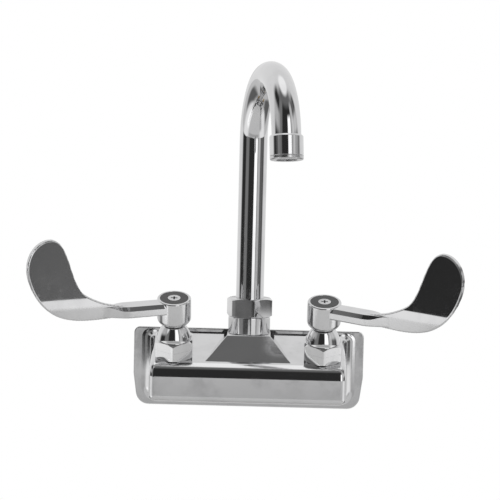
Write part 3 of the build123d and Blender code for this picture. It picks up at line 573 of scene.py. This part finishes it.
def wedgeShell():
    # level loops: half width grows by 1 / tan(wedgeSide) and the front slopes down to where the deck starts
    top, back = casting["wedgeTop"], casting["back"] - support["side"]
    lean = (casting["wedgeFront"] - deckStart[0]) / (top - deckStart[1])
    sideLine = wedgeLine(casting["wedgeHalf"], 1 / tan(radians(casting["wedgeSide"])))
    frontLine = wedgeLine(casting["wedgeFront"], -lean)
    corner = casting["wedgeCorner"]
    rows = []
    for half, level in sideLine:
        front = np.interp(level, frontLine[:, 1], frontLine[:, 0])
        loop = roundCorners([(-half, back), (-half, front), (half, front), (half, back)],
                            np.array([0, corner, corner, 0]), 5)
        rows.append(np.insert(loop, 2, level, axis=1))
    return capped(np.array(rows))


def flangeLevels():
    # both edges are chamfered twice: by 0.3 of the edge, then by the whole of it
    back, face, edge = casting["back"], casting["flangeFace"], casting["flangeEdge"]
    part, flat = 0.3 * edge, edge + support["flange"]
    return [(back, flat), (back, edge), (back - part, part), (back - edge, 0.0), (face + edge, 0.0),
            (face + part, part), (face, edge), (face, flat)]


gasketPlan = {"front": -2.0, "inset": 1.0, "edge": 0.3}


def gasketLevels():
    front, inset, edge = gasketPlan["front"], gasketPlan["inset"], gasketPlan["edge"]
    return [(0.0, inset + edge), (-edge, inset), (front + edge, inset), (front, inset + edge)]


makePiece("bodyCasting", "body", ["valve_body"], "cast_chrome",
          [plateRows(flangeLevels()), bodyShell(), flareShell(), wedgeShell()])
makePiece("wallSeal", "body", ["wall_gasket"], "black_rubber", [plateRows(gasketLevels())])
print("casting and gasket made")


# Wall side: threaded shanks, washers and locknuts; levels run from the wall towards the viewer

shankPlan = {"reach": -45.0, "front": 15.95, "radius": 10.48, "bore": 7.0, "boreEdge": 0.4, "endEdge": 1.0,
             "pitch": 1.814, "thread": 0.62, "rowStep": 0.16, "around": 72, "crest": 1.35, "root": 0.15,
             "runIn": 2.4, "runOut": (-1.2, -0.2), "reliefLow": -25.55, "reliefHigh": -23.55, "relief": 9.88,
             "reliefRun": 1.0}
washerPlan = {"inside": 10.63, "outside": 16.0, "low": -15.5, "high": -13.0, "edge": 0.5}
locknutPlan = {"flat": 13.5, "edge": 0.6, "cut": 1.3, "low": -23.5, "high": -15.5, "turn": 0.0, "cuts": "low",
               "before": [(10.53, -15.5), (10.53, -22.9), (11.1, -23.5)], "after": [(10.53, -15.5)]}


def threadShell(axes):
    # radius = the shank's - depth * triangle(level / pitch - angle / turn); the depth fades at the relief
    # and at both ends
    plan = shankPlan
    reach, front, bore = plan["reach"], plan["front"], plan["bore"]
    reliefLow, reliefHigh, run = plan["reliefLow"], plan["reliefHigh"], plan["reliefRun"]
    level = np.concatenate([np.arange(reach, 0.0, plan["rowStep"]), np.linspace(0.0, front, 6)])[:, None]
    angle = np.linspace(0, 2 * pi, plan["around"], endpoint=False)[None, :]
    phase = (level / plan["pitch"] - angle / (2 * pi)) % 1
    saw = np.clip(np.abs(2 * phase - 1) * plan["crest"] - plan["root"], 0, 1)
    ending = 1 - eased(level, *plan["runOut"])
    fade = (eased(level, reach, reach + plan["runIn"]) * ending
            * (1 - eased(level, reliefLow - run, reliefLow))
            + eased(level, reliefHigh, reliefHigh + run) * ending)
    radius = plan["radius"] - plan["thread"] * saw * np.clip(fade, 0, 1)
    radius = np.where((level > reliefLow) & (level < reliefHigh), plan["relief"], radius)
    radius = np.minimum(radius, plan["radius"] - plan["endEdge"] + (level - reach))
    outside = np.stack([radius * np.cos(angle), radius * np.sin(angle), level + 0 * angle], -1)
    ends = np.array([front, reach + plan["boreEdge"], reach])[:, None]
    hole = np.array([bore, bore, bore + plan["boreEdge"]])[:, None]
    inside = np.stack([hole * np.cos(angle), hole * np.sin(angle), ends + 0 * angle], -1)
    return place(axes, np.concatenate([outside, inside, outside[:1]]))


for name, side in valves.items():
    axes = inletAxes(side)
    makePiece(name + "Shank", "body", [name + "_inlet_shank"], "plain_brass", [threadShell(axes)], 50.0)
    makePiece(name + "Washer", "body", [name + "_wall_washer"], "black_rubber", [ringTurn(axes, washerPlan)])
    makePiece(name + "Locknut", "body", [name + "_locknut"], "plain_brass", [hexBlock(axes, locknutPlan)])
print("wall side made")


# Valves above the deck; profiles are (radius, level) and levels start on the deck

cartridgePlan = {"flat": 12.7, "edge": 0.45, "cut": 1.3, "low": 0.0, "high": 6.8, "turn": 30.0, "cuts": "low",
                 "before": [(7.45, -12.15), (8.4, -12.15), (8.4, -5.0), (9.55, -5.0), (9.55, 0.0)],
                 "after": [(8.5, 6.8), (8.5, 11.8), (6.2, 11.8), (6.2, 19.0), (4.95, 19.0), (4.95, -6.25),
                           (7.45, -6.25), (7.45, -12.15)]}
bonnetPlan = {"flat": 12.7, "edge": 0.45, "cut": 1.3, "low": 6.85, "high": 13.0, "turn": 30.0, "cuts": "high",
              "before": [(8.55, 6.85), (12.5, 6.85)], "after": [],
              "dome": [(12.2, 11.7), (10.4, 17.35), (7.2, 22.3)], "domeFoot": 0.1,
              "mouth": [(5.1, 22.3), (5.1, 20.6)], "mouthEdge": 0.35,
              "inside": [(6.3, 20.6), (6.3, 12.0), (8.55, 12.0), (8.55, 6.85)]}
neckRingPlan = {"inside": 5.1, "outside": 7.0, "low": 22.35, "high": 23.6, "edge": 0.3}
indexDiscPlan = {"inside": 4.45, "outside": 9.5, "low": 41.85, "high": 42.55, "edge": 0.15}


def bonnetGrid(axes):
    # the hexagon, then the dome as an arc through three points, the rounded mouth and the bore
    plan = bonnetPlan
    dome = arcThrough(*plan["dome"], 40)
    dome = dome[dome[:, 1] > plan["high"]]
    foot = np.array([[dome[0, 0] + plan["domeFoot"], plan["high"]]])
    mouth = roundCorners([dome[-2], dome[-1], *plan["mouth"]], plan["mouthEdge"], 5, False)
    return hexBlock(axes, plan, np.concatenate([foot, dome[:-2], mouth, plan["inside"]]))


# Handles: a hub turned round the valve axis, an arm that climbs out of it and the wrist blade

hubPlan = {"bowl": [(7.6, 23.8), (10.42, 25.37), (11.45, 28.2)],
           "top": [(11.45, 28.2), (11.45, 42.6), (9.6, 42.6), (9.6, 41.8), (4.45, 41.8), (4.45, 40.65)],
           "topEdges": [0, 1.6, 0.2, 0.05, 0.1, 0],
           "inside": [(2.1, 40.65), (2.1, 37.3), (4.3, 37.3), (4.3, 24.45), (5.02, 24.45), (5.02, 23.8)]}
armPlan = {"level": 36.1, "climb": 11.5, "turn": {"hot": 37.0, "cold": 42.0}, "start": 6, "straight": 38,
           "end": 60, "half": 6.0, "endHalf": 1.47, "tall": 3.75, "edge": 1.2, "edgeShare": 0.6, "cut": 2.4,
           "cutRange": (1.6, 5.5), "cutEdge": 0.35, "cutGap": 0.01}
bladePlan = {"start": 38, "hollow": (73, 12.75), "crown": (99, 48.2), "tip": (116.1, 26.2),
             "belly": (96, 1.1), "half": 1.5, "edge": 0.9, "lean": 17.0, "bend": 8.0, "columns": 150,
             "rows": 60}


def hubGrid(axes):
    bowl = arcThrough(*hubPlan["bowl"], 12)
    top = roundCorners(hubPlan["top"], np.array(hubPlan["topEdges"]), 9, False)
    return turned(axes, np.concatenate([bowl, top, hubPlan["inside"], bowl[:1]]), 128)


def handleAxes(name, side):
    # local x runs out along the climbing arm, local y is towards the viewer, local z up square to the arm
    turn, climb = radians(armPlan["turn"][name]), radians(armPlan["climb"])
    front = np.array([0, -cos(slope), -sin(slope)])
    outward = np.array([side, 0, 0]) * cos(turn) + front * sin(turn)
    origin, _, _, along = valveAxes(side)
    reach = outward * cos(climb) + along * sin(climb)
    up = along * cos(climb) - outward * sin(climb)
    return origin + along * armPlan["level"], reach, np.cross(up, reach) * -side, up


def armGrid(axes):
    # a rounded bar with its upper front edge cut off, whose half width falls along a cubic to the blade's
    straight, end, tall, gap = armPlan["straight"], armPlan["end"], armPlan["tall"], armPlan["cutGap"]
    along = np.concatenate([np.linspace(armPlan["start"], straight, 6), np.linspace(straight, end, 30)[1:]])
    curve = hermite((straight, armPlan["half"]), (1, 0), (end, armPlan["endHalf"]), (1, 0), 60)
    half = np.where(along <= straight, armPlan["half"], np.interp(along, curve[:, 0], curve[:, 1]))
    rows = []
    for reach, width in zip(along, half):
        edge = min(armPlan["edge"], width * armPlan["edgeShare"])
        cut = armPlan["cut"] * eased(width, *armPlan["cutRange"])
        loop = roundCorners([(-width, -tall), (width, -tall), (width, tall - cut - gap),
                             (width - cut - gap, tall), (-width, tall)],
                            np.array([edge, edge, armPlan["cutEdge"], armPlan["cutEdge"], edge]), 7)
        rows.append(np.insert(loop, 0, reach, axis=1))
    return place(axes, capped(np.array(rows)))


def bladeOutline():
    # the blade square on: hollow arc, crown, tip, belly and heel; returns its upper and its lower side
    start, tall = bladePlan["start"], armPlan["tall"]
    hollow, way = arcFrom((start, tall), (1, 0), bladePlan["hollow"], 60)
    crown = hermite(hollow[-1], way, bladePlan["crown"], (1, 0), 60)
    tip, way = arcFrom(bladePlan["crown"], (1, 0), bladePlan["tip"], 60)
    belly, way = arcFrom(tip[-1], way, bladePlan["belly"], 60)
    heel = hermite(belly[-1], way, (start, -tall), (-1, 0), 70)
    upper = np.concatenate([hollow, crown[1:], tip[1:]])
    lower = np.concatenate([belly, heel[1:]])[::-1]
    return upper, lower


def bladeShell(axes):
    # points between the two sides; half thickness = half - edge + the rise of a round edge with the distance
    # to the rim; above the arm the blade bends back along a parabola and then leans straight
    upper, lower = bladeOutline()
    rim = np.concatenate([upper, lower[::-1]])
    upper, lower = evenly(upper, bladePlan["columns"]), evenly(lower, bladePlan["columns"])
    share = (1 - np.cos(np.linspace(0, pi, bladePlan["rows"]))) / 2
    flat = lower[None] + (upper - lower)[None] * share[:, None, None]
    gap = np.linalg.norm(flat[:, :, None] - rim[None, None], axis=-1).min(-1)
    edge = bladePlan["edge"]
    depth = np.clip(gap, 0, edge)
    half = bladePlan["half"] - edge + np.sqrt(edge**2 - (edge - depth) ** 2)
    height = flat[..., 1]
    lean, bend = tan(radians(bladePlan["lean"])), bladePlan["bend"]
    over = np.clip(height - armPlan["tall"], 0, None)
    fall = np.where(over < bend, lean * over**2 / (2 * bend), lean * (over - bend / 2))
    front = np.stack([flat[..., 0], half - fall, height], -1)
    rear = np.stack([flat[..., 0], -half - fall, height], -1)
    return place(axes, np.swapaxes(np.concatenate([front, rear[::-1]]), 0, 1))


for name, side in valves.items():
    axes = valveAxes(side)
    armAxes = handleAxes(name, side)
    control = name + "_control"
    makePiece(name + "CartridgeNut", "body", [name + "_cartridge"], "turned_chrome",
              [hexBlock(axes, cartridgePlan)])
    makePiece(name + "Bonnet", "body", [name + "_bonnet"], "turned_chrome", [bonnetGrid(axes)])
    makePiece(name + "NeckRing", "body", [name + "_neck_ring"], "black_rubber",
              [ringTurn(axes, neckRingPlan, 64)])
    makePiece(name + "Handle", control, [name + "_handle"], "handle_chrome",
              [hubGrid(axes), armGrid(armAxes), bladeShell(armAxes)], 40.0)
    makePiece(name + "IndexDisc", control, [name + "_index_disc"], name + "_index",
              [ringTurn(axes, indexDiscPlan)])
print("valves and handles made")


# Spout joint and gooseneck

spoutPlan = {"forward": 20.0, "tubeRadius": 9.515, "tubeWall": 1.2, "tubeFoot": 49.05, "riserTop": 160.35,
             "arch": 44.45, "turn": 14.2, "tilt": 9.0, "seat": 4.95}
spoutAxes = makeAxes((0, -spoutPlan["forward"], 0), (1, 0, 0), (0, 0, 1))
spoutTurn, tilt = radians(spoutPlan["turn"]), radians(spoutPlan["tilt"])
heading = np.array([sin(spoutTurn), -cos(spoutTurn), 0])
upward = np.array([0.0, 0, 1])
outletWay = heading * sin(tilt) - upward * cos(tilt)
riserTop = np.array([0, -spoutPlan["forward"], spoutPlan["riserTop"]])
archEnd = riserTop + heading * spoutPlan["arch"] * (1 + cos(tilt)) + upward * spoutPlan["arch"] * sin(tilt)
outletAxes = makeAxes(archEnd, np.cross(heading, upward), outletWay)


def gooseneckGrid():
    # a circle carried up the riser, round an arc of 180 degrees - tilt and into the tip, outside then inside
    rise = np.linspace(spoutPlan["tubeFoot"], spoutPlan["riserTop"], 14)[:-1]
    swing = np.linspace(0, pi - tilt, 130)
    leave = np.linspace(0, spoutPlan["seat"], 4)[1:]
    onArch = heading * (1 - np.cos(swing))[:, None] + upward * np.sin(swing)[:, None]
    centre = np.concatenate([riserTop + upward * (rise - spoutPlan["riserTop"])[:, None],
                             riserTop + spoutPlan["arch"] * onArch, archEnd + outletWay * leave[:, None]])
    angle = np.concatenate([0 * rise, swing, np.full(len(leave), swing[-1])])[:, None]
    outward = upward * np.sin(angle) - heading * np.cos(angle)
    sideways = np.cross(heading, upward)
    around = np.linspace(0, 2 * pi, 96, endpoint=False)[None, :, None]
    ray = np.cos(around) * outward[:, None] + np.sin(around) * sideways
    outside = centre[:, None] + spoutPlan["tubeRadius"] * ray
    inside = centre[:, None] + (spoutPlan["tubeRadius"] - spoutPlan["tubeWall"]) * ray
    return np.concatenate([outside, inside[::-1], outside[:1]])


# turned pieces: closed profiles of (radius, level), with the rounding of each corner
tipPlan = {"corners": [(9.6, 0), (10.9, 1.5), (10.9, 14), (9.2, 14), (9.2, 6.3), (8.325, 6.3), (8.325, 5),
                       (9.6, 5)],
           "edges": [0.25, 0.6, 0.25, 0.1, 0, 0, 0, 0]}
aeratorPlan = {"corners": [(7.6, 7.15), (9.15, 7.15), (9.15, 14.05), (10.9, 14.05), (10.9, 16.65),
                           (6.9, 16.65), (6.9, 16.0), (7.6, 16.0)],
               "edges": [0, 0, 0, 0.25, 0.87, 0.2, 0, 0]}
collarPlan = {"corners": [(8.0, 13.2), (9.95, 13.2), (9.95, 27.2), (14.4, 27.2), (14.4, 38.9), (12.0, 38.9),
                          (12.0, 46.4), (8.0, 46.4)],
              "edges": [0, 0, 0, 0.5, 0.6, 0, 0, 0]}
nutPlan = {"flat": 14.2, "edge": 0.5, "cut": 1.2, "low": 38.95, "high": 51.6, "turn": 43.4,
           "cuts": "low and high", "before": [(12.05, 38.95)],
           "after": [(10.0, 51.6), (9.675, 51.3), (9.675, 49.9), (12.05, 49.9), (12.05, 38.95)]}

makePiece("gooseneck", "spout", ["gooseneck_tube"], "tube_chrome", [gooseneckGrid()])
for name, body, node, slot, axes, plan in (
        ("spoutTip", "spout", "spout_tip", "turned_chrome", outletAxes, tipPlan),
        ("aerator", "spout", "aerator_body", "satin_chrome", outletAxes, aeratorPlan),
        ("spoutCollar", "body", "spout_collar", "turned_chrome", spoutAxes, collarPlan)):
    makePiece(name, body, [node], slot, [closedTurn(axes, plan["corners"], np.array(plan["edges"]), 112)])
makePiece("spoutNut", "body", ["spout_nut"], "turned_chrome", [hexBlock(spoutAxes, nutPlan)])
print("spout made")


# Studio: floor, lamps, surroundings and camera; places are in metres, turns in degrees

floorPlan = {"height": -0.140, "centre": (0.0, -0.10), "radius": 0.32, "colour": 0.80, "fade": (0.45, 0.98),
             "rings": 12, "around": 96, "speckScale": 40.0, "speck": (1.03, 1.03, 1.02)}


def makeFloor():
    # rings round the middle; the outer ones fade into the white background
    radius = np.linspace(0, floorPlan["radius"], floorPlan["rings"])[:, None]
    angle = np.linspace(0, 2 * pi, floorPlan["around"], endpoint=False)[None, :]
    x, y = floorPlan["centre"]
    grid = np.stack([x + radius * np.cos(angle), y + radius * np.sin(angle),
                     floorPlan["height"] + 0 * radius * angle], -1)
    index = np.arange(grid[..., 0].size).reshape(grid.shape[:2])
    index = np.concatenate([index, index[:, :1]], 1)
    quads = np.stack([index[:-1, :-1], index[1:, :-1], index[1:, 1:], index[:-1, 1:]], -1).reshape(-1, 4)
    mesh = bpy.data.meshes.new("paleFloor")
    mesh.from_pydata(grid.reshape(-1, 3), [], quads)
    material, maker, spot = newMaterial("paleFloor")
    apart = maker.node("ShaderNodeVectorMath", {"operation": "SUBTRACT"},
                       {0: spot, 1: (x, y, floorPlan["height"])})
    away = maker.node("ShaderNodeVectorMath", {"operation": "LENGTH"}, {0: apart}, "Value")
    level = floorPlan["colour"]
    speckle = maker.noise(spot, floorPlan["speckScale"], detail=3.0, roughness=0.6)
    colour = maker.blend(speckle, (level, level, level), [level * tint for tint in floorPlan["speck"]])
    shader = maker.node("ShaderNodeBsdfDiffuse", None, {"Color": colour})
    clear = maker.node("ShaderNodeBsdfTransparent")
    shown = 1 - away.rise(*[floorPlan["radius"] * share for share in floorPlan["fade"]])
    maker.surface(maker.node("ShaderNodeMixShader", None, {0: shown, 1: clear, 2: shader}))
    mesh.materials.append(material)
    floor = bpy.data.objects.new("paleFloor", mesh)
    bpy.context.scene.collection.objects.link(floor)


lampTarget = (0.0, -0.02, 0.06)
lampPlans = {
    "overheadBox": {"azimuth": 0.0, "elevation": 86.0, "distance": 1.15, "width": 1.50, "height": 0.80,
                    "level": 1.6},
    "frontStrip": {"azimuth": 25.0, "elevation": 13.0, "distance": 1.5, "width": 0.69, "height": 1.15,
                   "level": 1.6},
}


def towards(azimuth, elevation):
    # the direction from the faucet to a lamp or the camera; azimuth 0 is in front, 90 to the right
    a, e = radians(azimuth), radians(elevation)
    return np.array([sin(a) * cos(e), -cos(a) * cos(e), sin(e)])


def stand(holder, right, upright, away, where):
    # sets an object's matrix from its own right, up and backward directions and its place
    basis = np.eye(4)
    basis[:3, 0], basis[:3, 1], basis[:3, 2], basis[:3, 3] = right, upright, away, where
    holder.matrix_world = Matrix(basis.tolist())
    bpy.context.scene.collection.objects.link(holder)


def makeLamp(name, plan):
    # a soft box that faces the faucet and lights only what isn't a mirror; its power is level x pi x area,
    # so every part of its face shines at that level
    way = towards(plan["azimuth"], plan["elevation"])
    across = np.cross([0, 0, 1], way)
    across = across / np.linalg.norm(across)
    lamp = bpy.data.lights.new(name, "AREA")
    lamp.shape = "RECTANGLE"
    lamp.size = plan["width"]
    lamp.size_y = plan["height"]
    lamp.energy = plan["level"] * pi * plan["width"] * plan["height"]
    holder = bpy.data.objects.new(name, lamp)
    holder.visible_camera = False
    holder.visible_glossy = False
    stand(holder, across, np.cross(way, across), way, np.array(lampTarget) + way * plan["distance"])


# what polished metal sees: bands are (from, to, softness, level), rises (from, to), in degrees
surroundings = {
    "diffuse": 0.50, "screens": 0.030, "cards": [(-61, -34, 5, 0.20), (40, 62, 5, 0.58), (66, 88, 5, 0.12)],
    "rear": (90, 108), "rearLevel": 0.85, "sideHeight": (11, 32, 6, 0.55), "sides": (46, 72),
    "window": (12, 36, 2.5, 1.5), "windowHeight": (-8, 38, 5, 1),
    "ceiling": (46, 60), "ceilingLevel": 0.17, "top": (66, 76), "ceilingSides": (50, 110),
    "ceilingSideLevel": 0.68,
    "floorLevel": 0.66, "floorEdge": (-7.25, -6.7), "dip": 0.9, "dipFrom": (4, 7), "dipTo": (50, 65),
    "nearHeight": (-15, -9.3, 1.0, 0.20), "near": (30, 50), "floorSides": (50, 94, 10, 0.38),
    "deep": (-26, -16), "deepLeft": (-72, -48, 5, 0.35), "deepRight": (48, 66, 4, 0.45),
    "deepRear": (100, 142, 9, 0.52),
    "flag": (160, 172), "flagHeight": (-11, 8, 4, 0.30),
}


def seenInMetal(azimuth, elevation, aside):
    # a studio by direction: dark screens in front with bright cards between them, light behind, a dim ceiling
    # with a bright top, and a light floor that turns dark in places low down
    plan = surroundings

    def band(angle, name):
        return angle.band(*plan[name][:3]) * plan[name][3]

    def rise(angle, name):
        return angle.rise(*plan[name])

    rear, top = rise(aside, "rear"), rise(elevation, "top")
    ring = plan["screens"]
    for low, high, soft, level in plan["cards"]:
        ring = ring + azimuth.band(low, high, soft) * level
    ring = ring + rear * plan["rearLevel"] + band(elevation, "sideHeight") * rise(aside, "sides") * (1 - rear)
    window = band(azimuth, "window") * band(elevation, "windowHeight")
    above = rise(elevation, "ceiling")
    ceiling = plan["ceilingLevel"] + top + rise(aside, "ceilingSides") * (1 - top) * plan["ceilingSideLevel"]
    dip = rise(aside, "dipFrom") * (1 - rise(aside, "dipTo"))  # beside the middle the floor ends lower
    below = 1 - rise(elevation + dip * plan["dip"], "floorEdge")
    deep = 1 - rise(elevation, "deep")
    floor = (plan["floorLevel"] - band(elevation, "nearHeight") * (1 - rise(aside, "near"))
             + band(aside, "floorSides")
             + deep * (band(azimuth, "deepLeft") - band(azimuth, "deepRight") - band(aside, "deepRear")))
    seen = (ring + window) * (1 - above) * (1 - below) + ceiling * above + below * floor
    flag = rise(aside, "flag") * band(elevation, "flagHeight")  # a grey card straight behind
    return seen * (1 - flag)


def makeSurroundings():
    # white to the camera and through glass, the studio above to mirrors, one plain level to everything else
    world = bpy.data.worlds.new("studio")
    bpy.context.scene.world = world
    world.use_nodes = True
    maker = Maker(world.node_tree)
    way = maker.node("ShaderNodeTexCoord", output="Generated")
    parts = maker.tree.nodes.new("ShaderNodeSeparateXYZ")
    maker.tree.links.new(way.socket, parts.inputs[0])
    x, y, z = (Value(maker, parts.outputs[k]) for k in range(3))
    azimuth = maker.maths("ARCTAN2", x, 0 - y) * degrees(1)
    elevation = maker.maths("ARCSINE", z) * degrees(1)
    aside = maker.maths("ABSOLUTE", azimuth)
    seen = seenInMetal(azimuth, elevation, aside)
    light = maker.tree.nodes.new("ShaderNodeLightPath")
    camera, glossy, through = (Value(maker, light.outputs[key]) for key in
                               ("Is Camera Ray", "Is Glossy Ray", "Is Transmission Ray"))
    plain = maker.maths("MAXIMUM", camera, through)
    level = plain + (1 - plain) * (glossy * seen + (1 - glossy) * surroundings["diffuse"])
    maker.surface(maker.node("ShaderNodeBackground", None, {"Color": (1, 1, 1, 1), "Strength": level}),
                  "ShaderNodeOutputWorld")


cameraPlan = {"target": (0.0, -0.020, 0.097), "azimuth": 0.5, "elevation": 4.5, "distance": 1.300,
              "roll": 1.4, "lens": 135.7, "sensor": 36.0, "shiftX": -0.0028, "shiftY": -0.0354, "near": 0.01}


def makeCamera():
    plan = cameraPlan
    azimuth, roll = radians(plan["azimuth"]), radians(plan["roll"])
    away = towards(plan["azimuth"], plan["elevation"])
    right = np.array([cos(azimuth), sin(azimuth), 0])
    upright = np.cross(away, right)
    lens = bpy.data.cameras.new("camera")
    lens.lens = plan["lens"]
    lens.sensor_width = plan["sensor"]
    lens.shift_x = plan["shiftX"]
    lens.shift_y = plan["shiftY"]
    lens.clip_start = plan["near"]
    camera = bpy.data.objects.new("camera", lens)
    stand(camera, right * cos(roll) + upright * sin(roll), upright * cos(roll) - right * sin(roll), away,
          np.array(plan["target"]) + away * plan["distance"])
    bpy.context.scene.camera = camera


makeFloor()
for name, plan in lampPlans.items():
    makeLamp(name, plan)
makeSurroundings()
makeCamera()
bpy.context.scene.view_settings.view_transform = "Standard"
print("studio made")
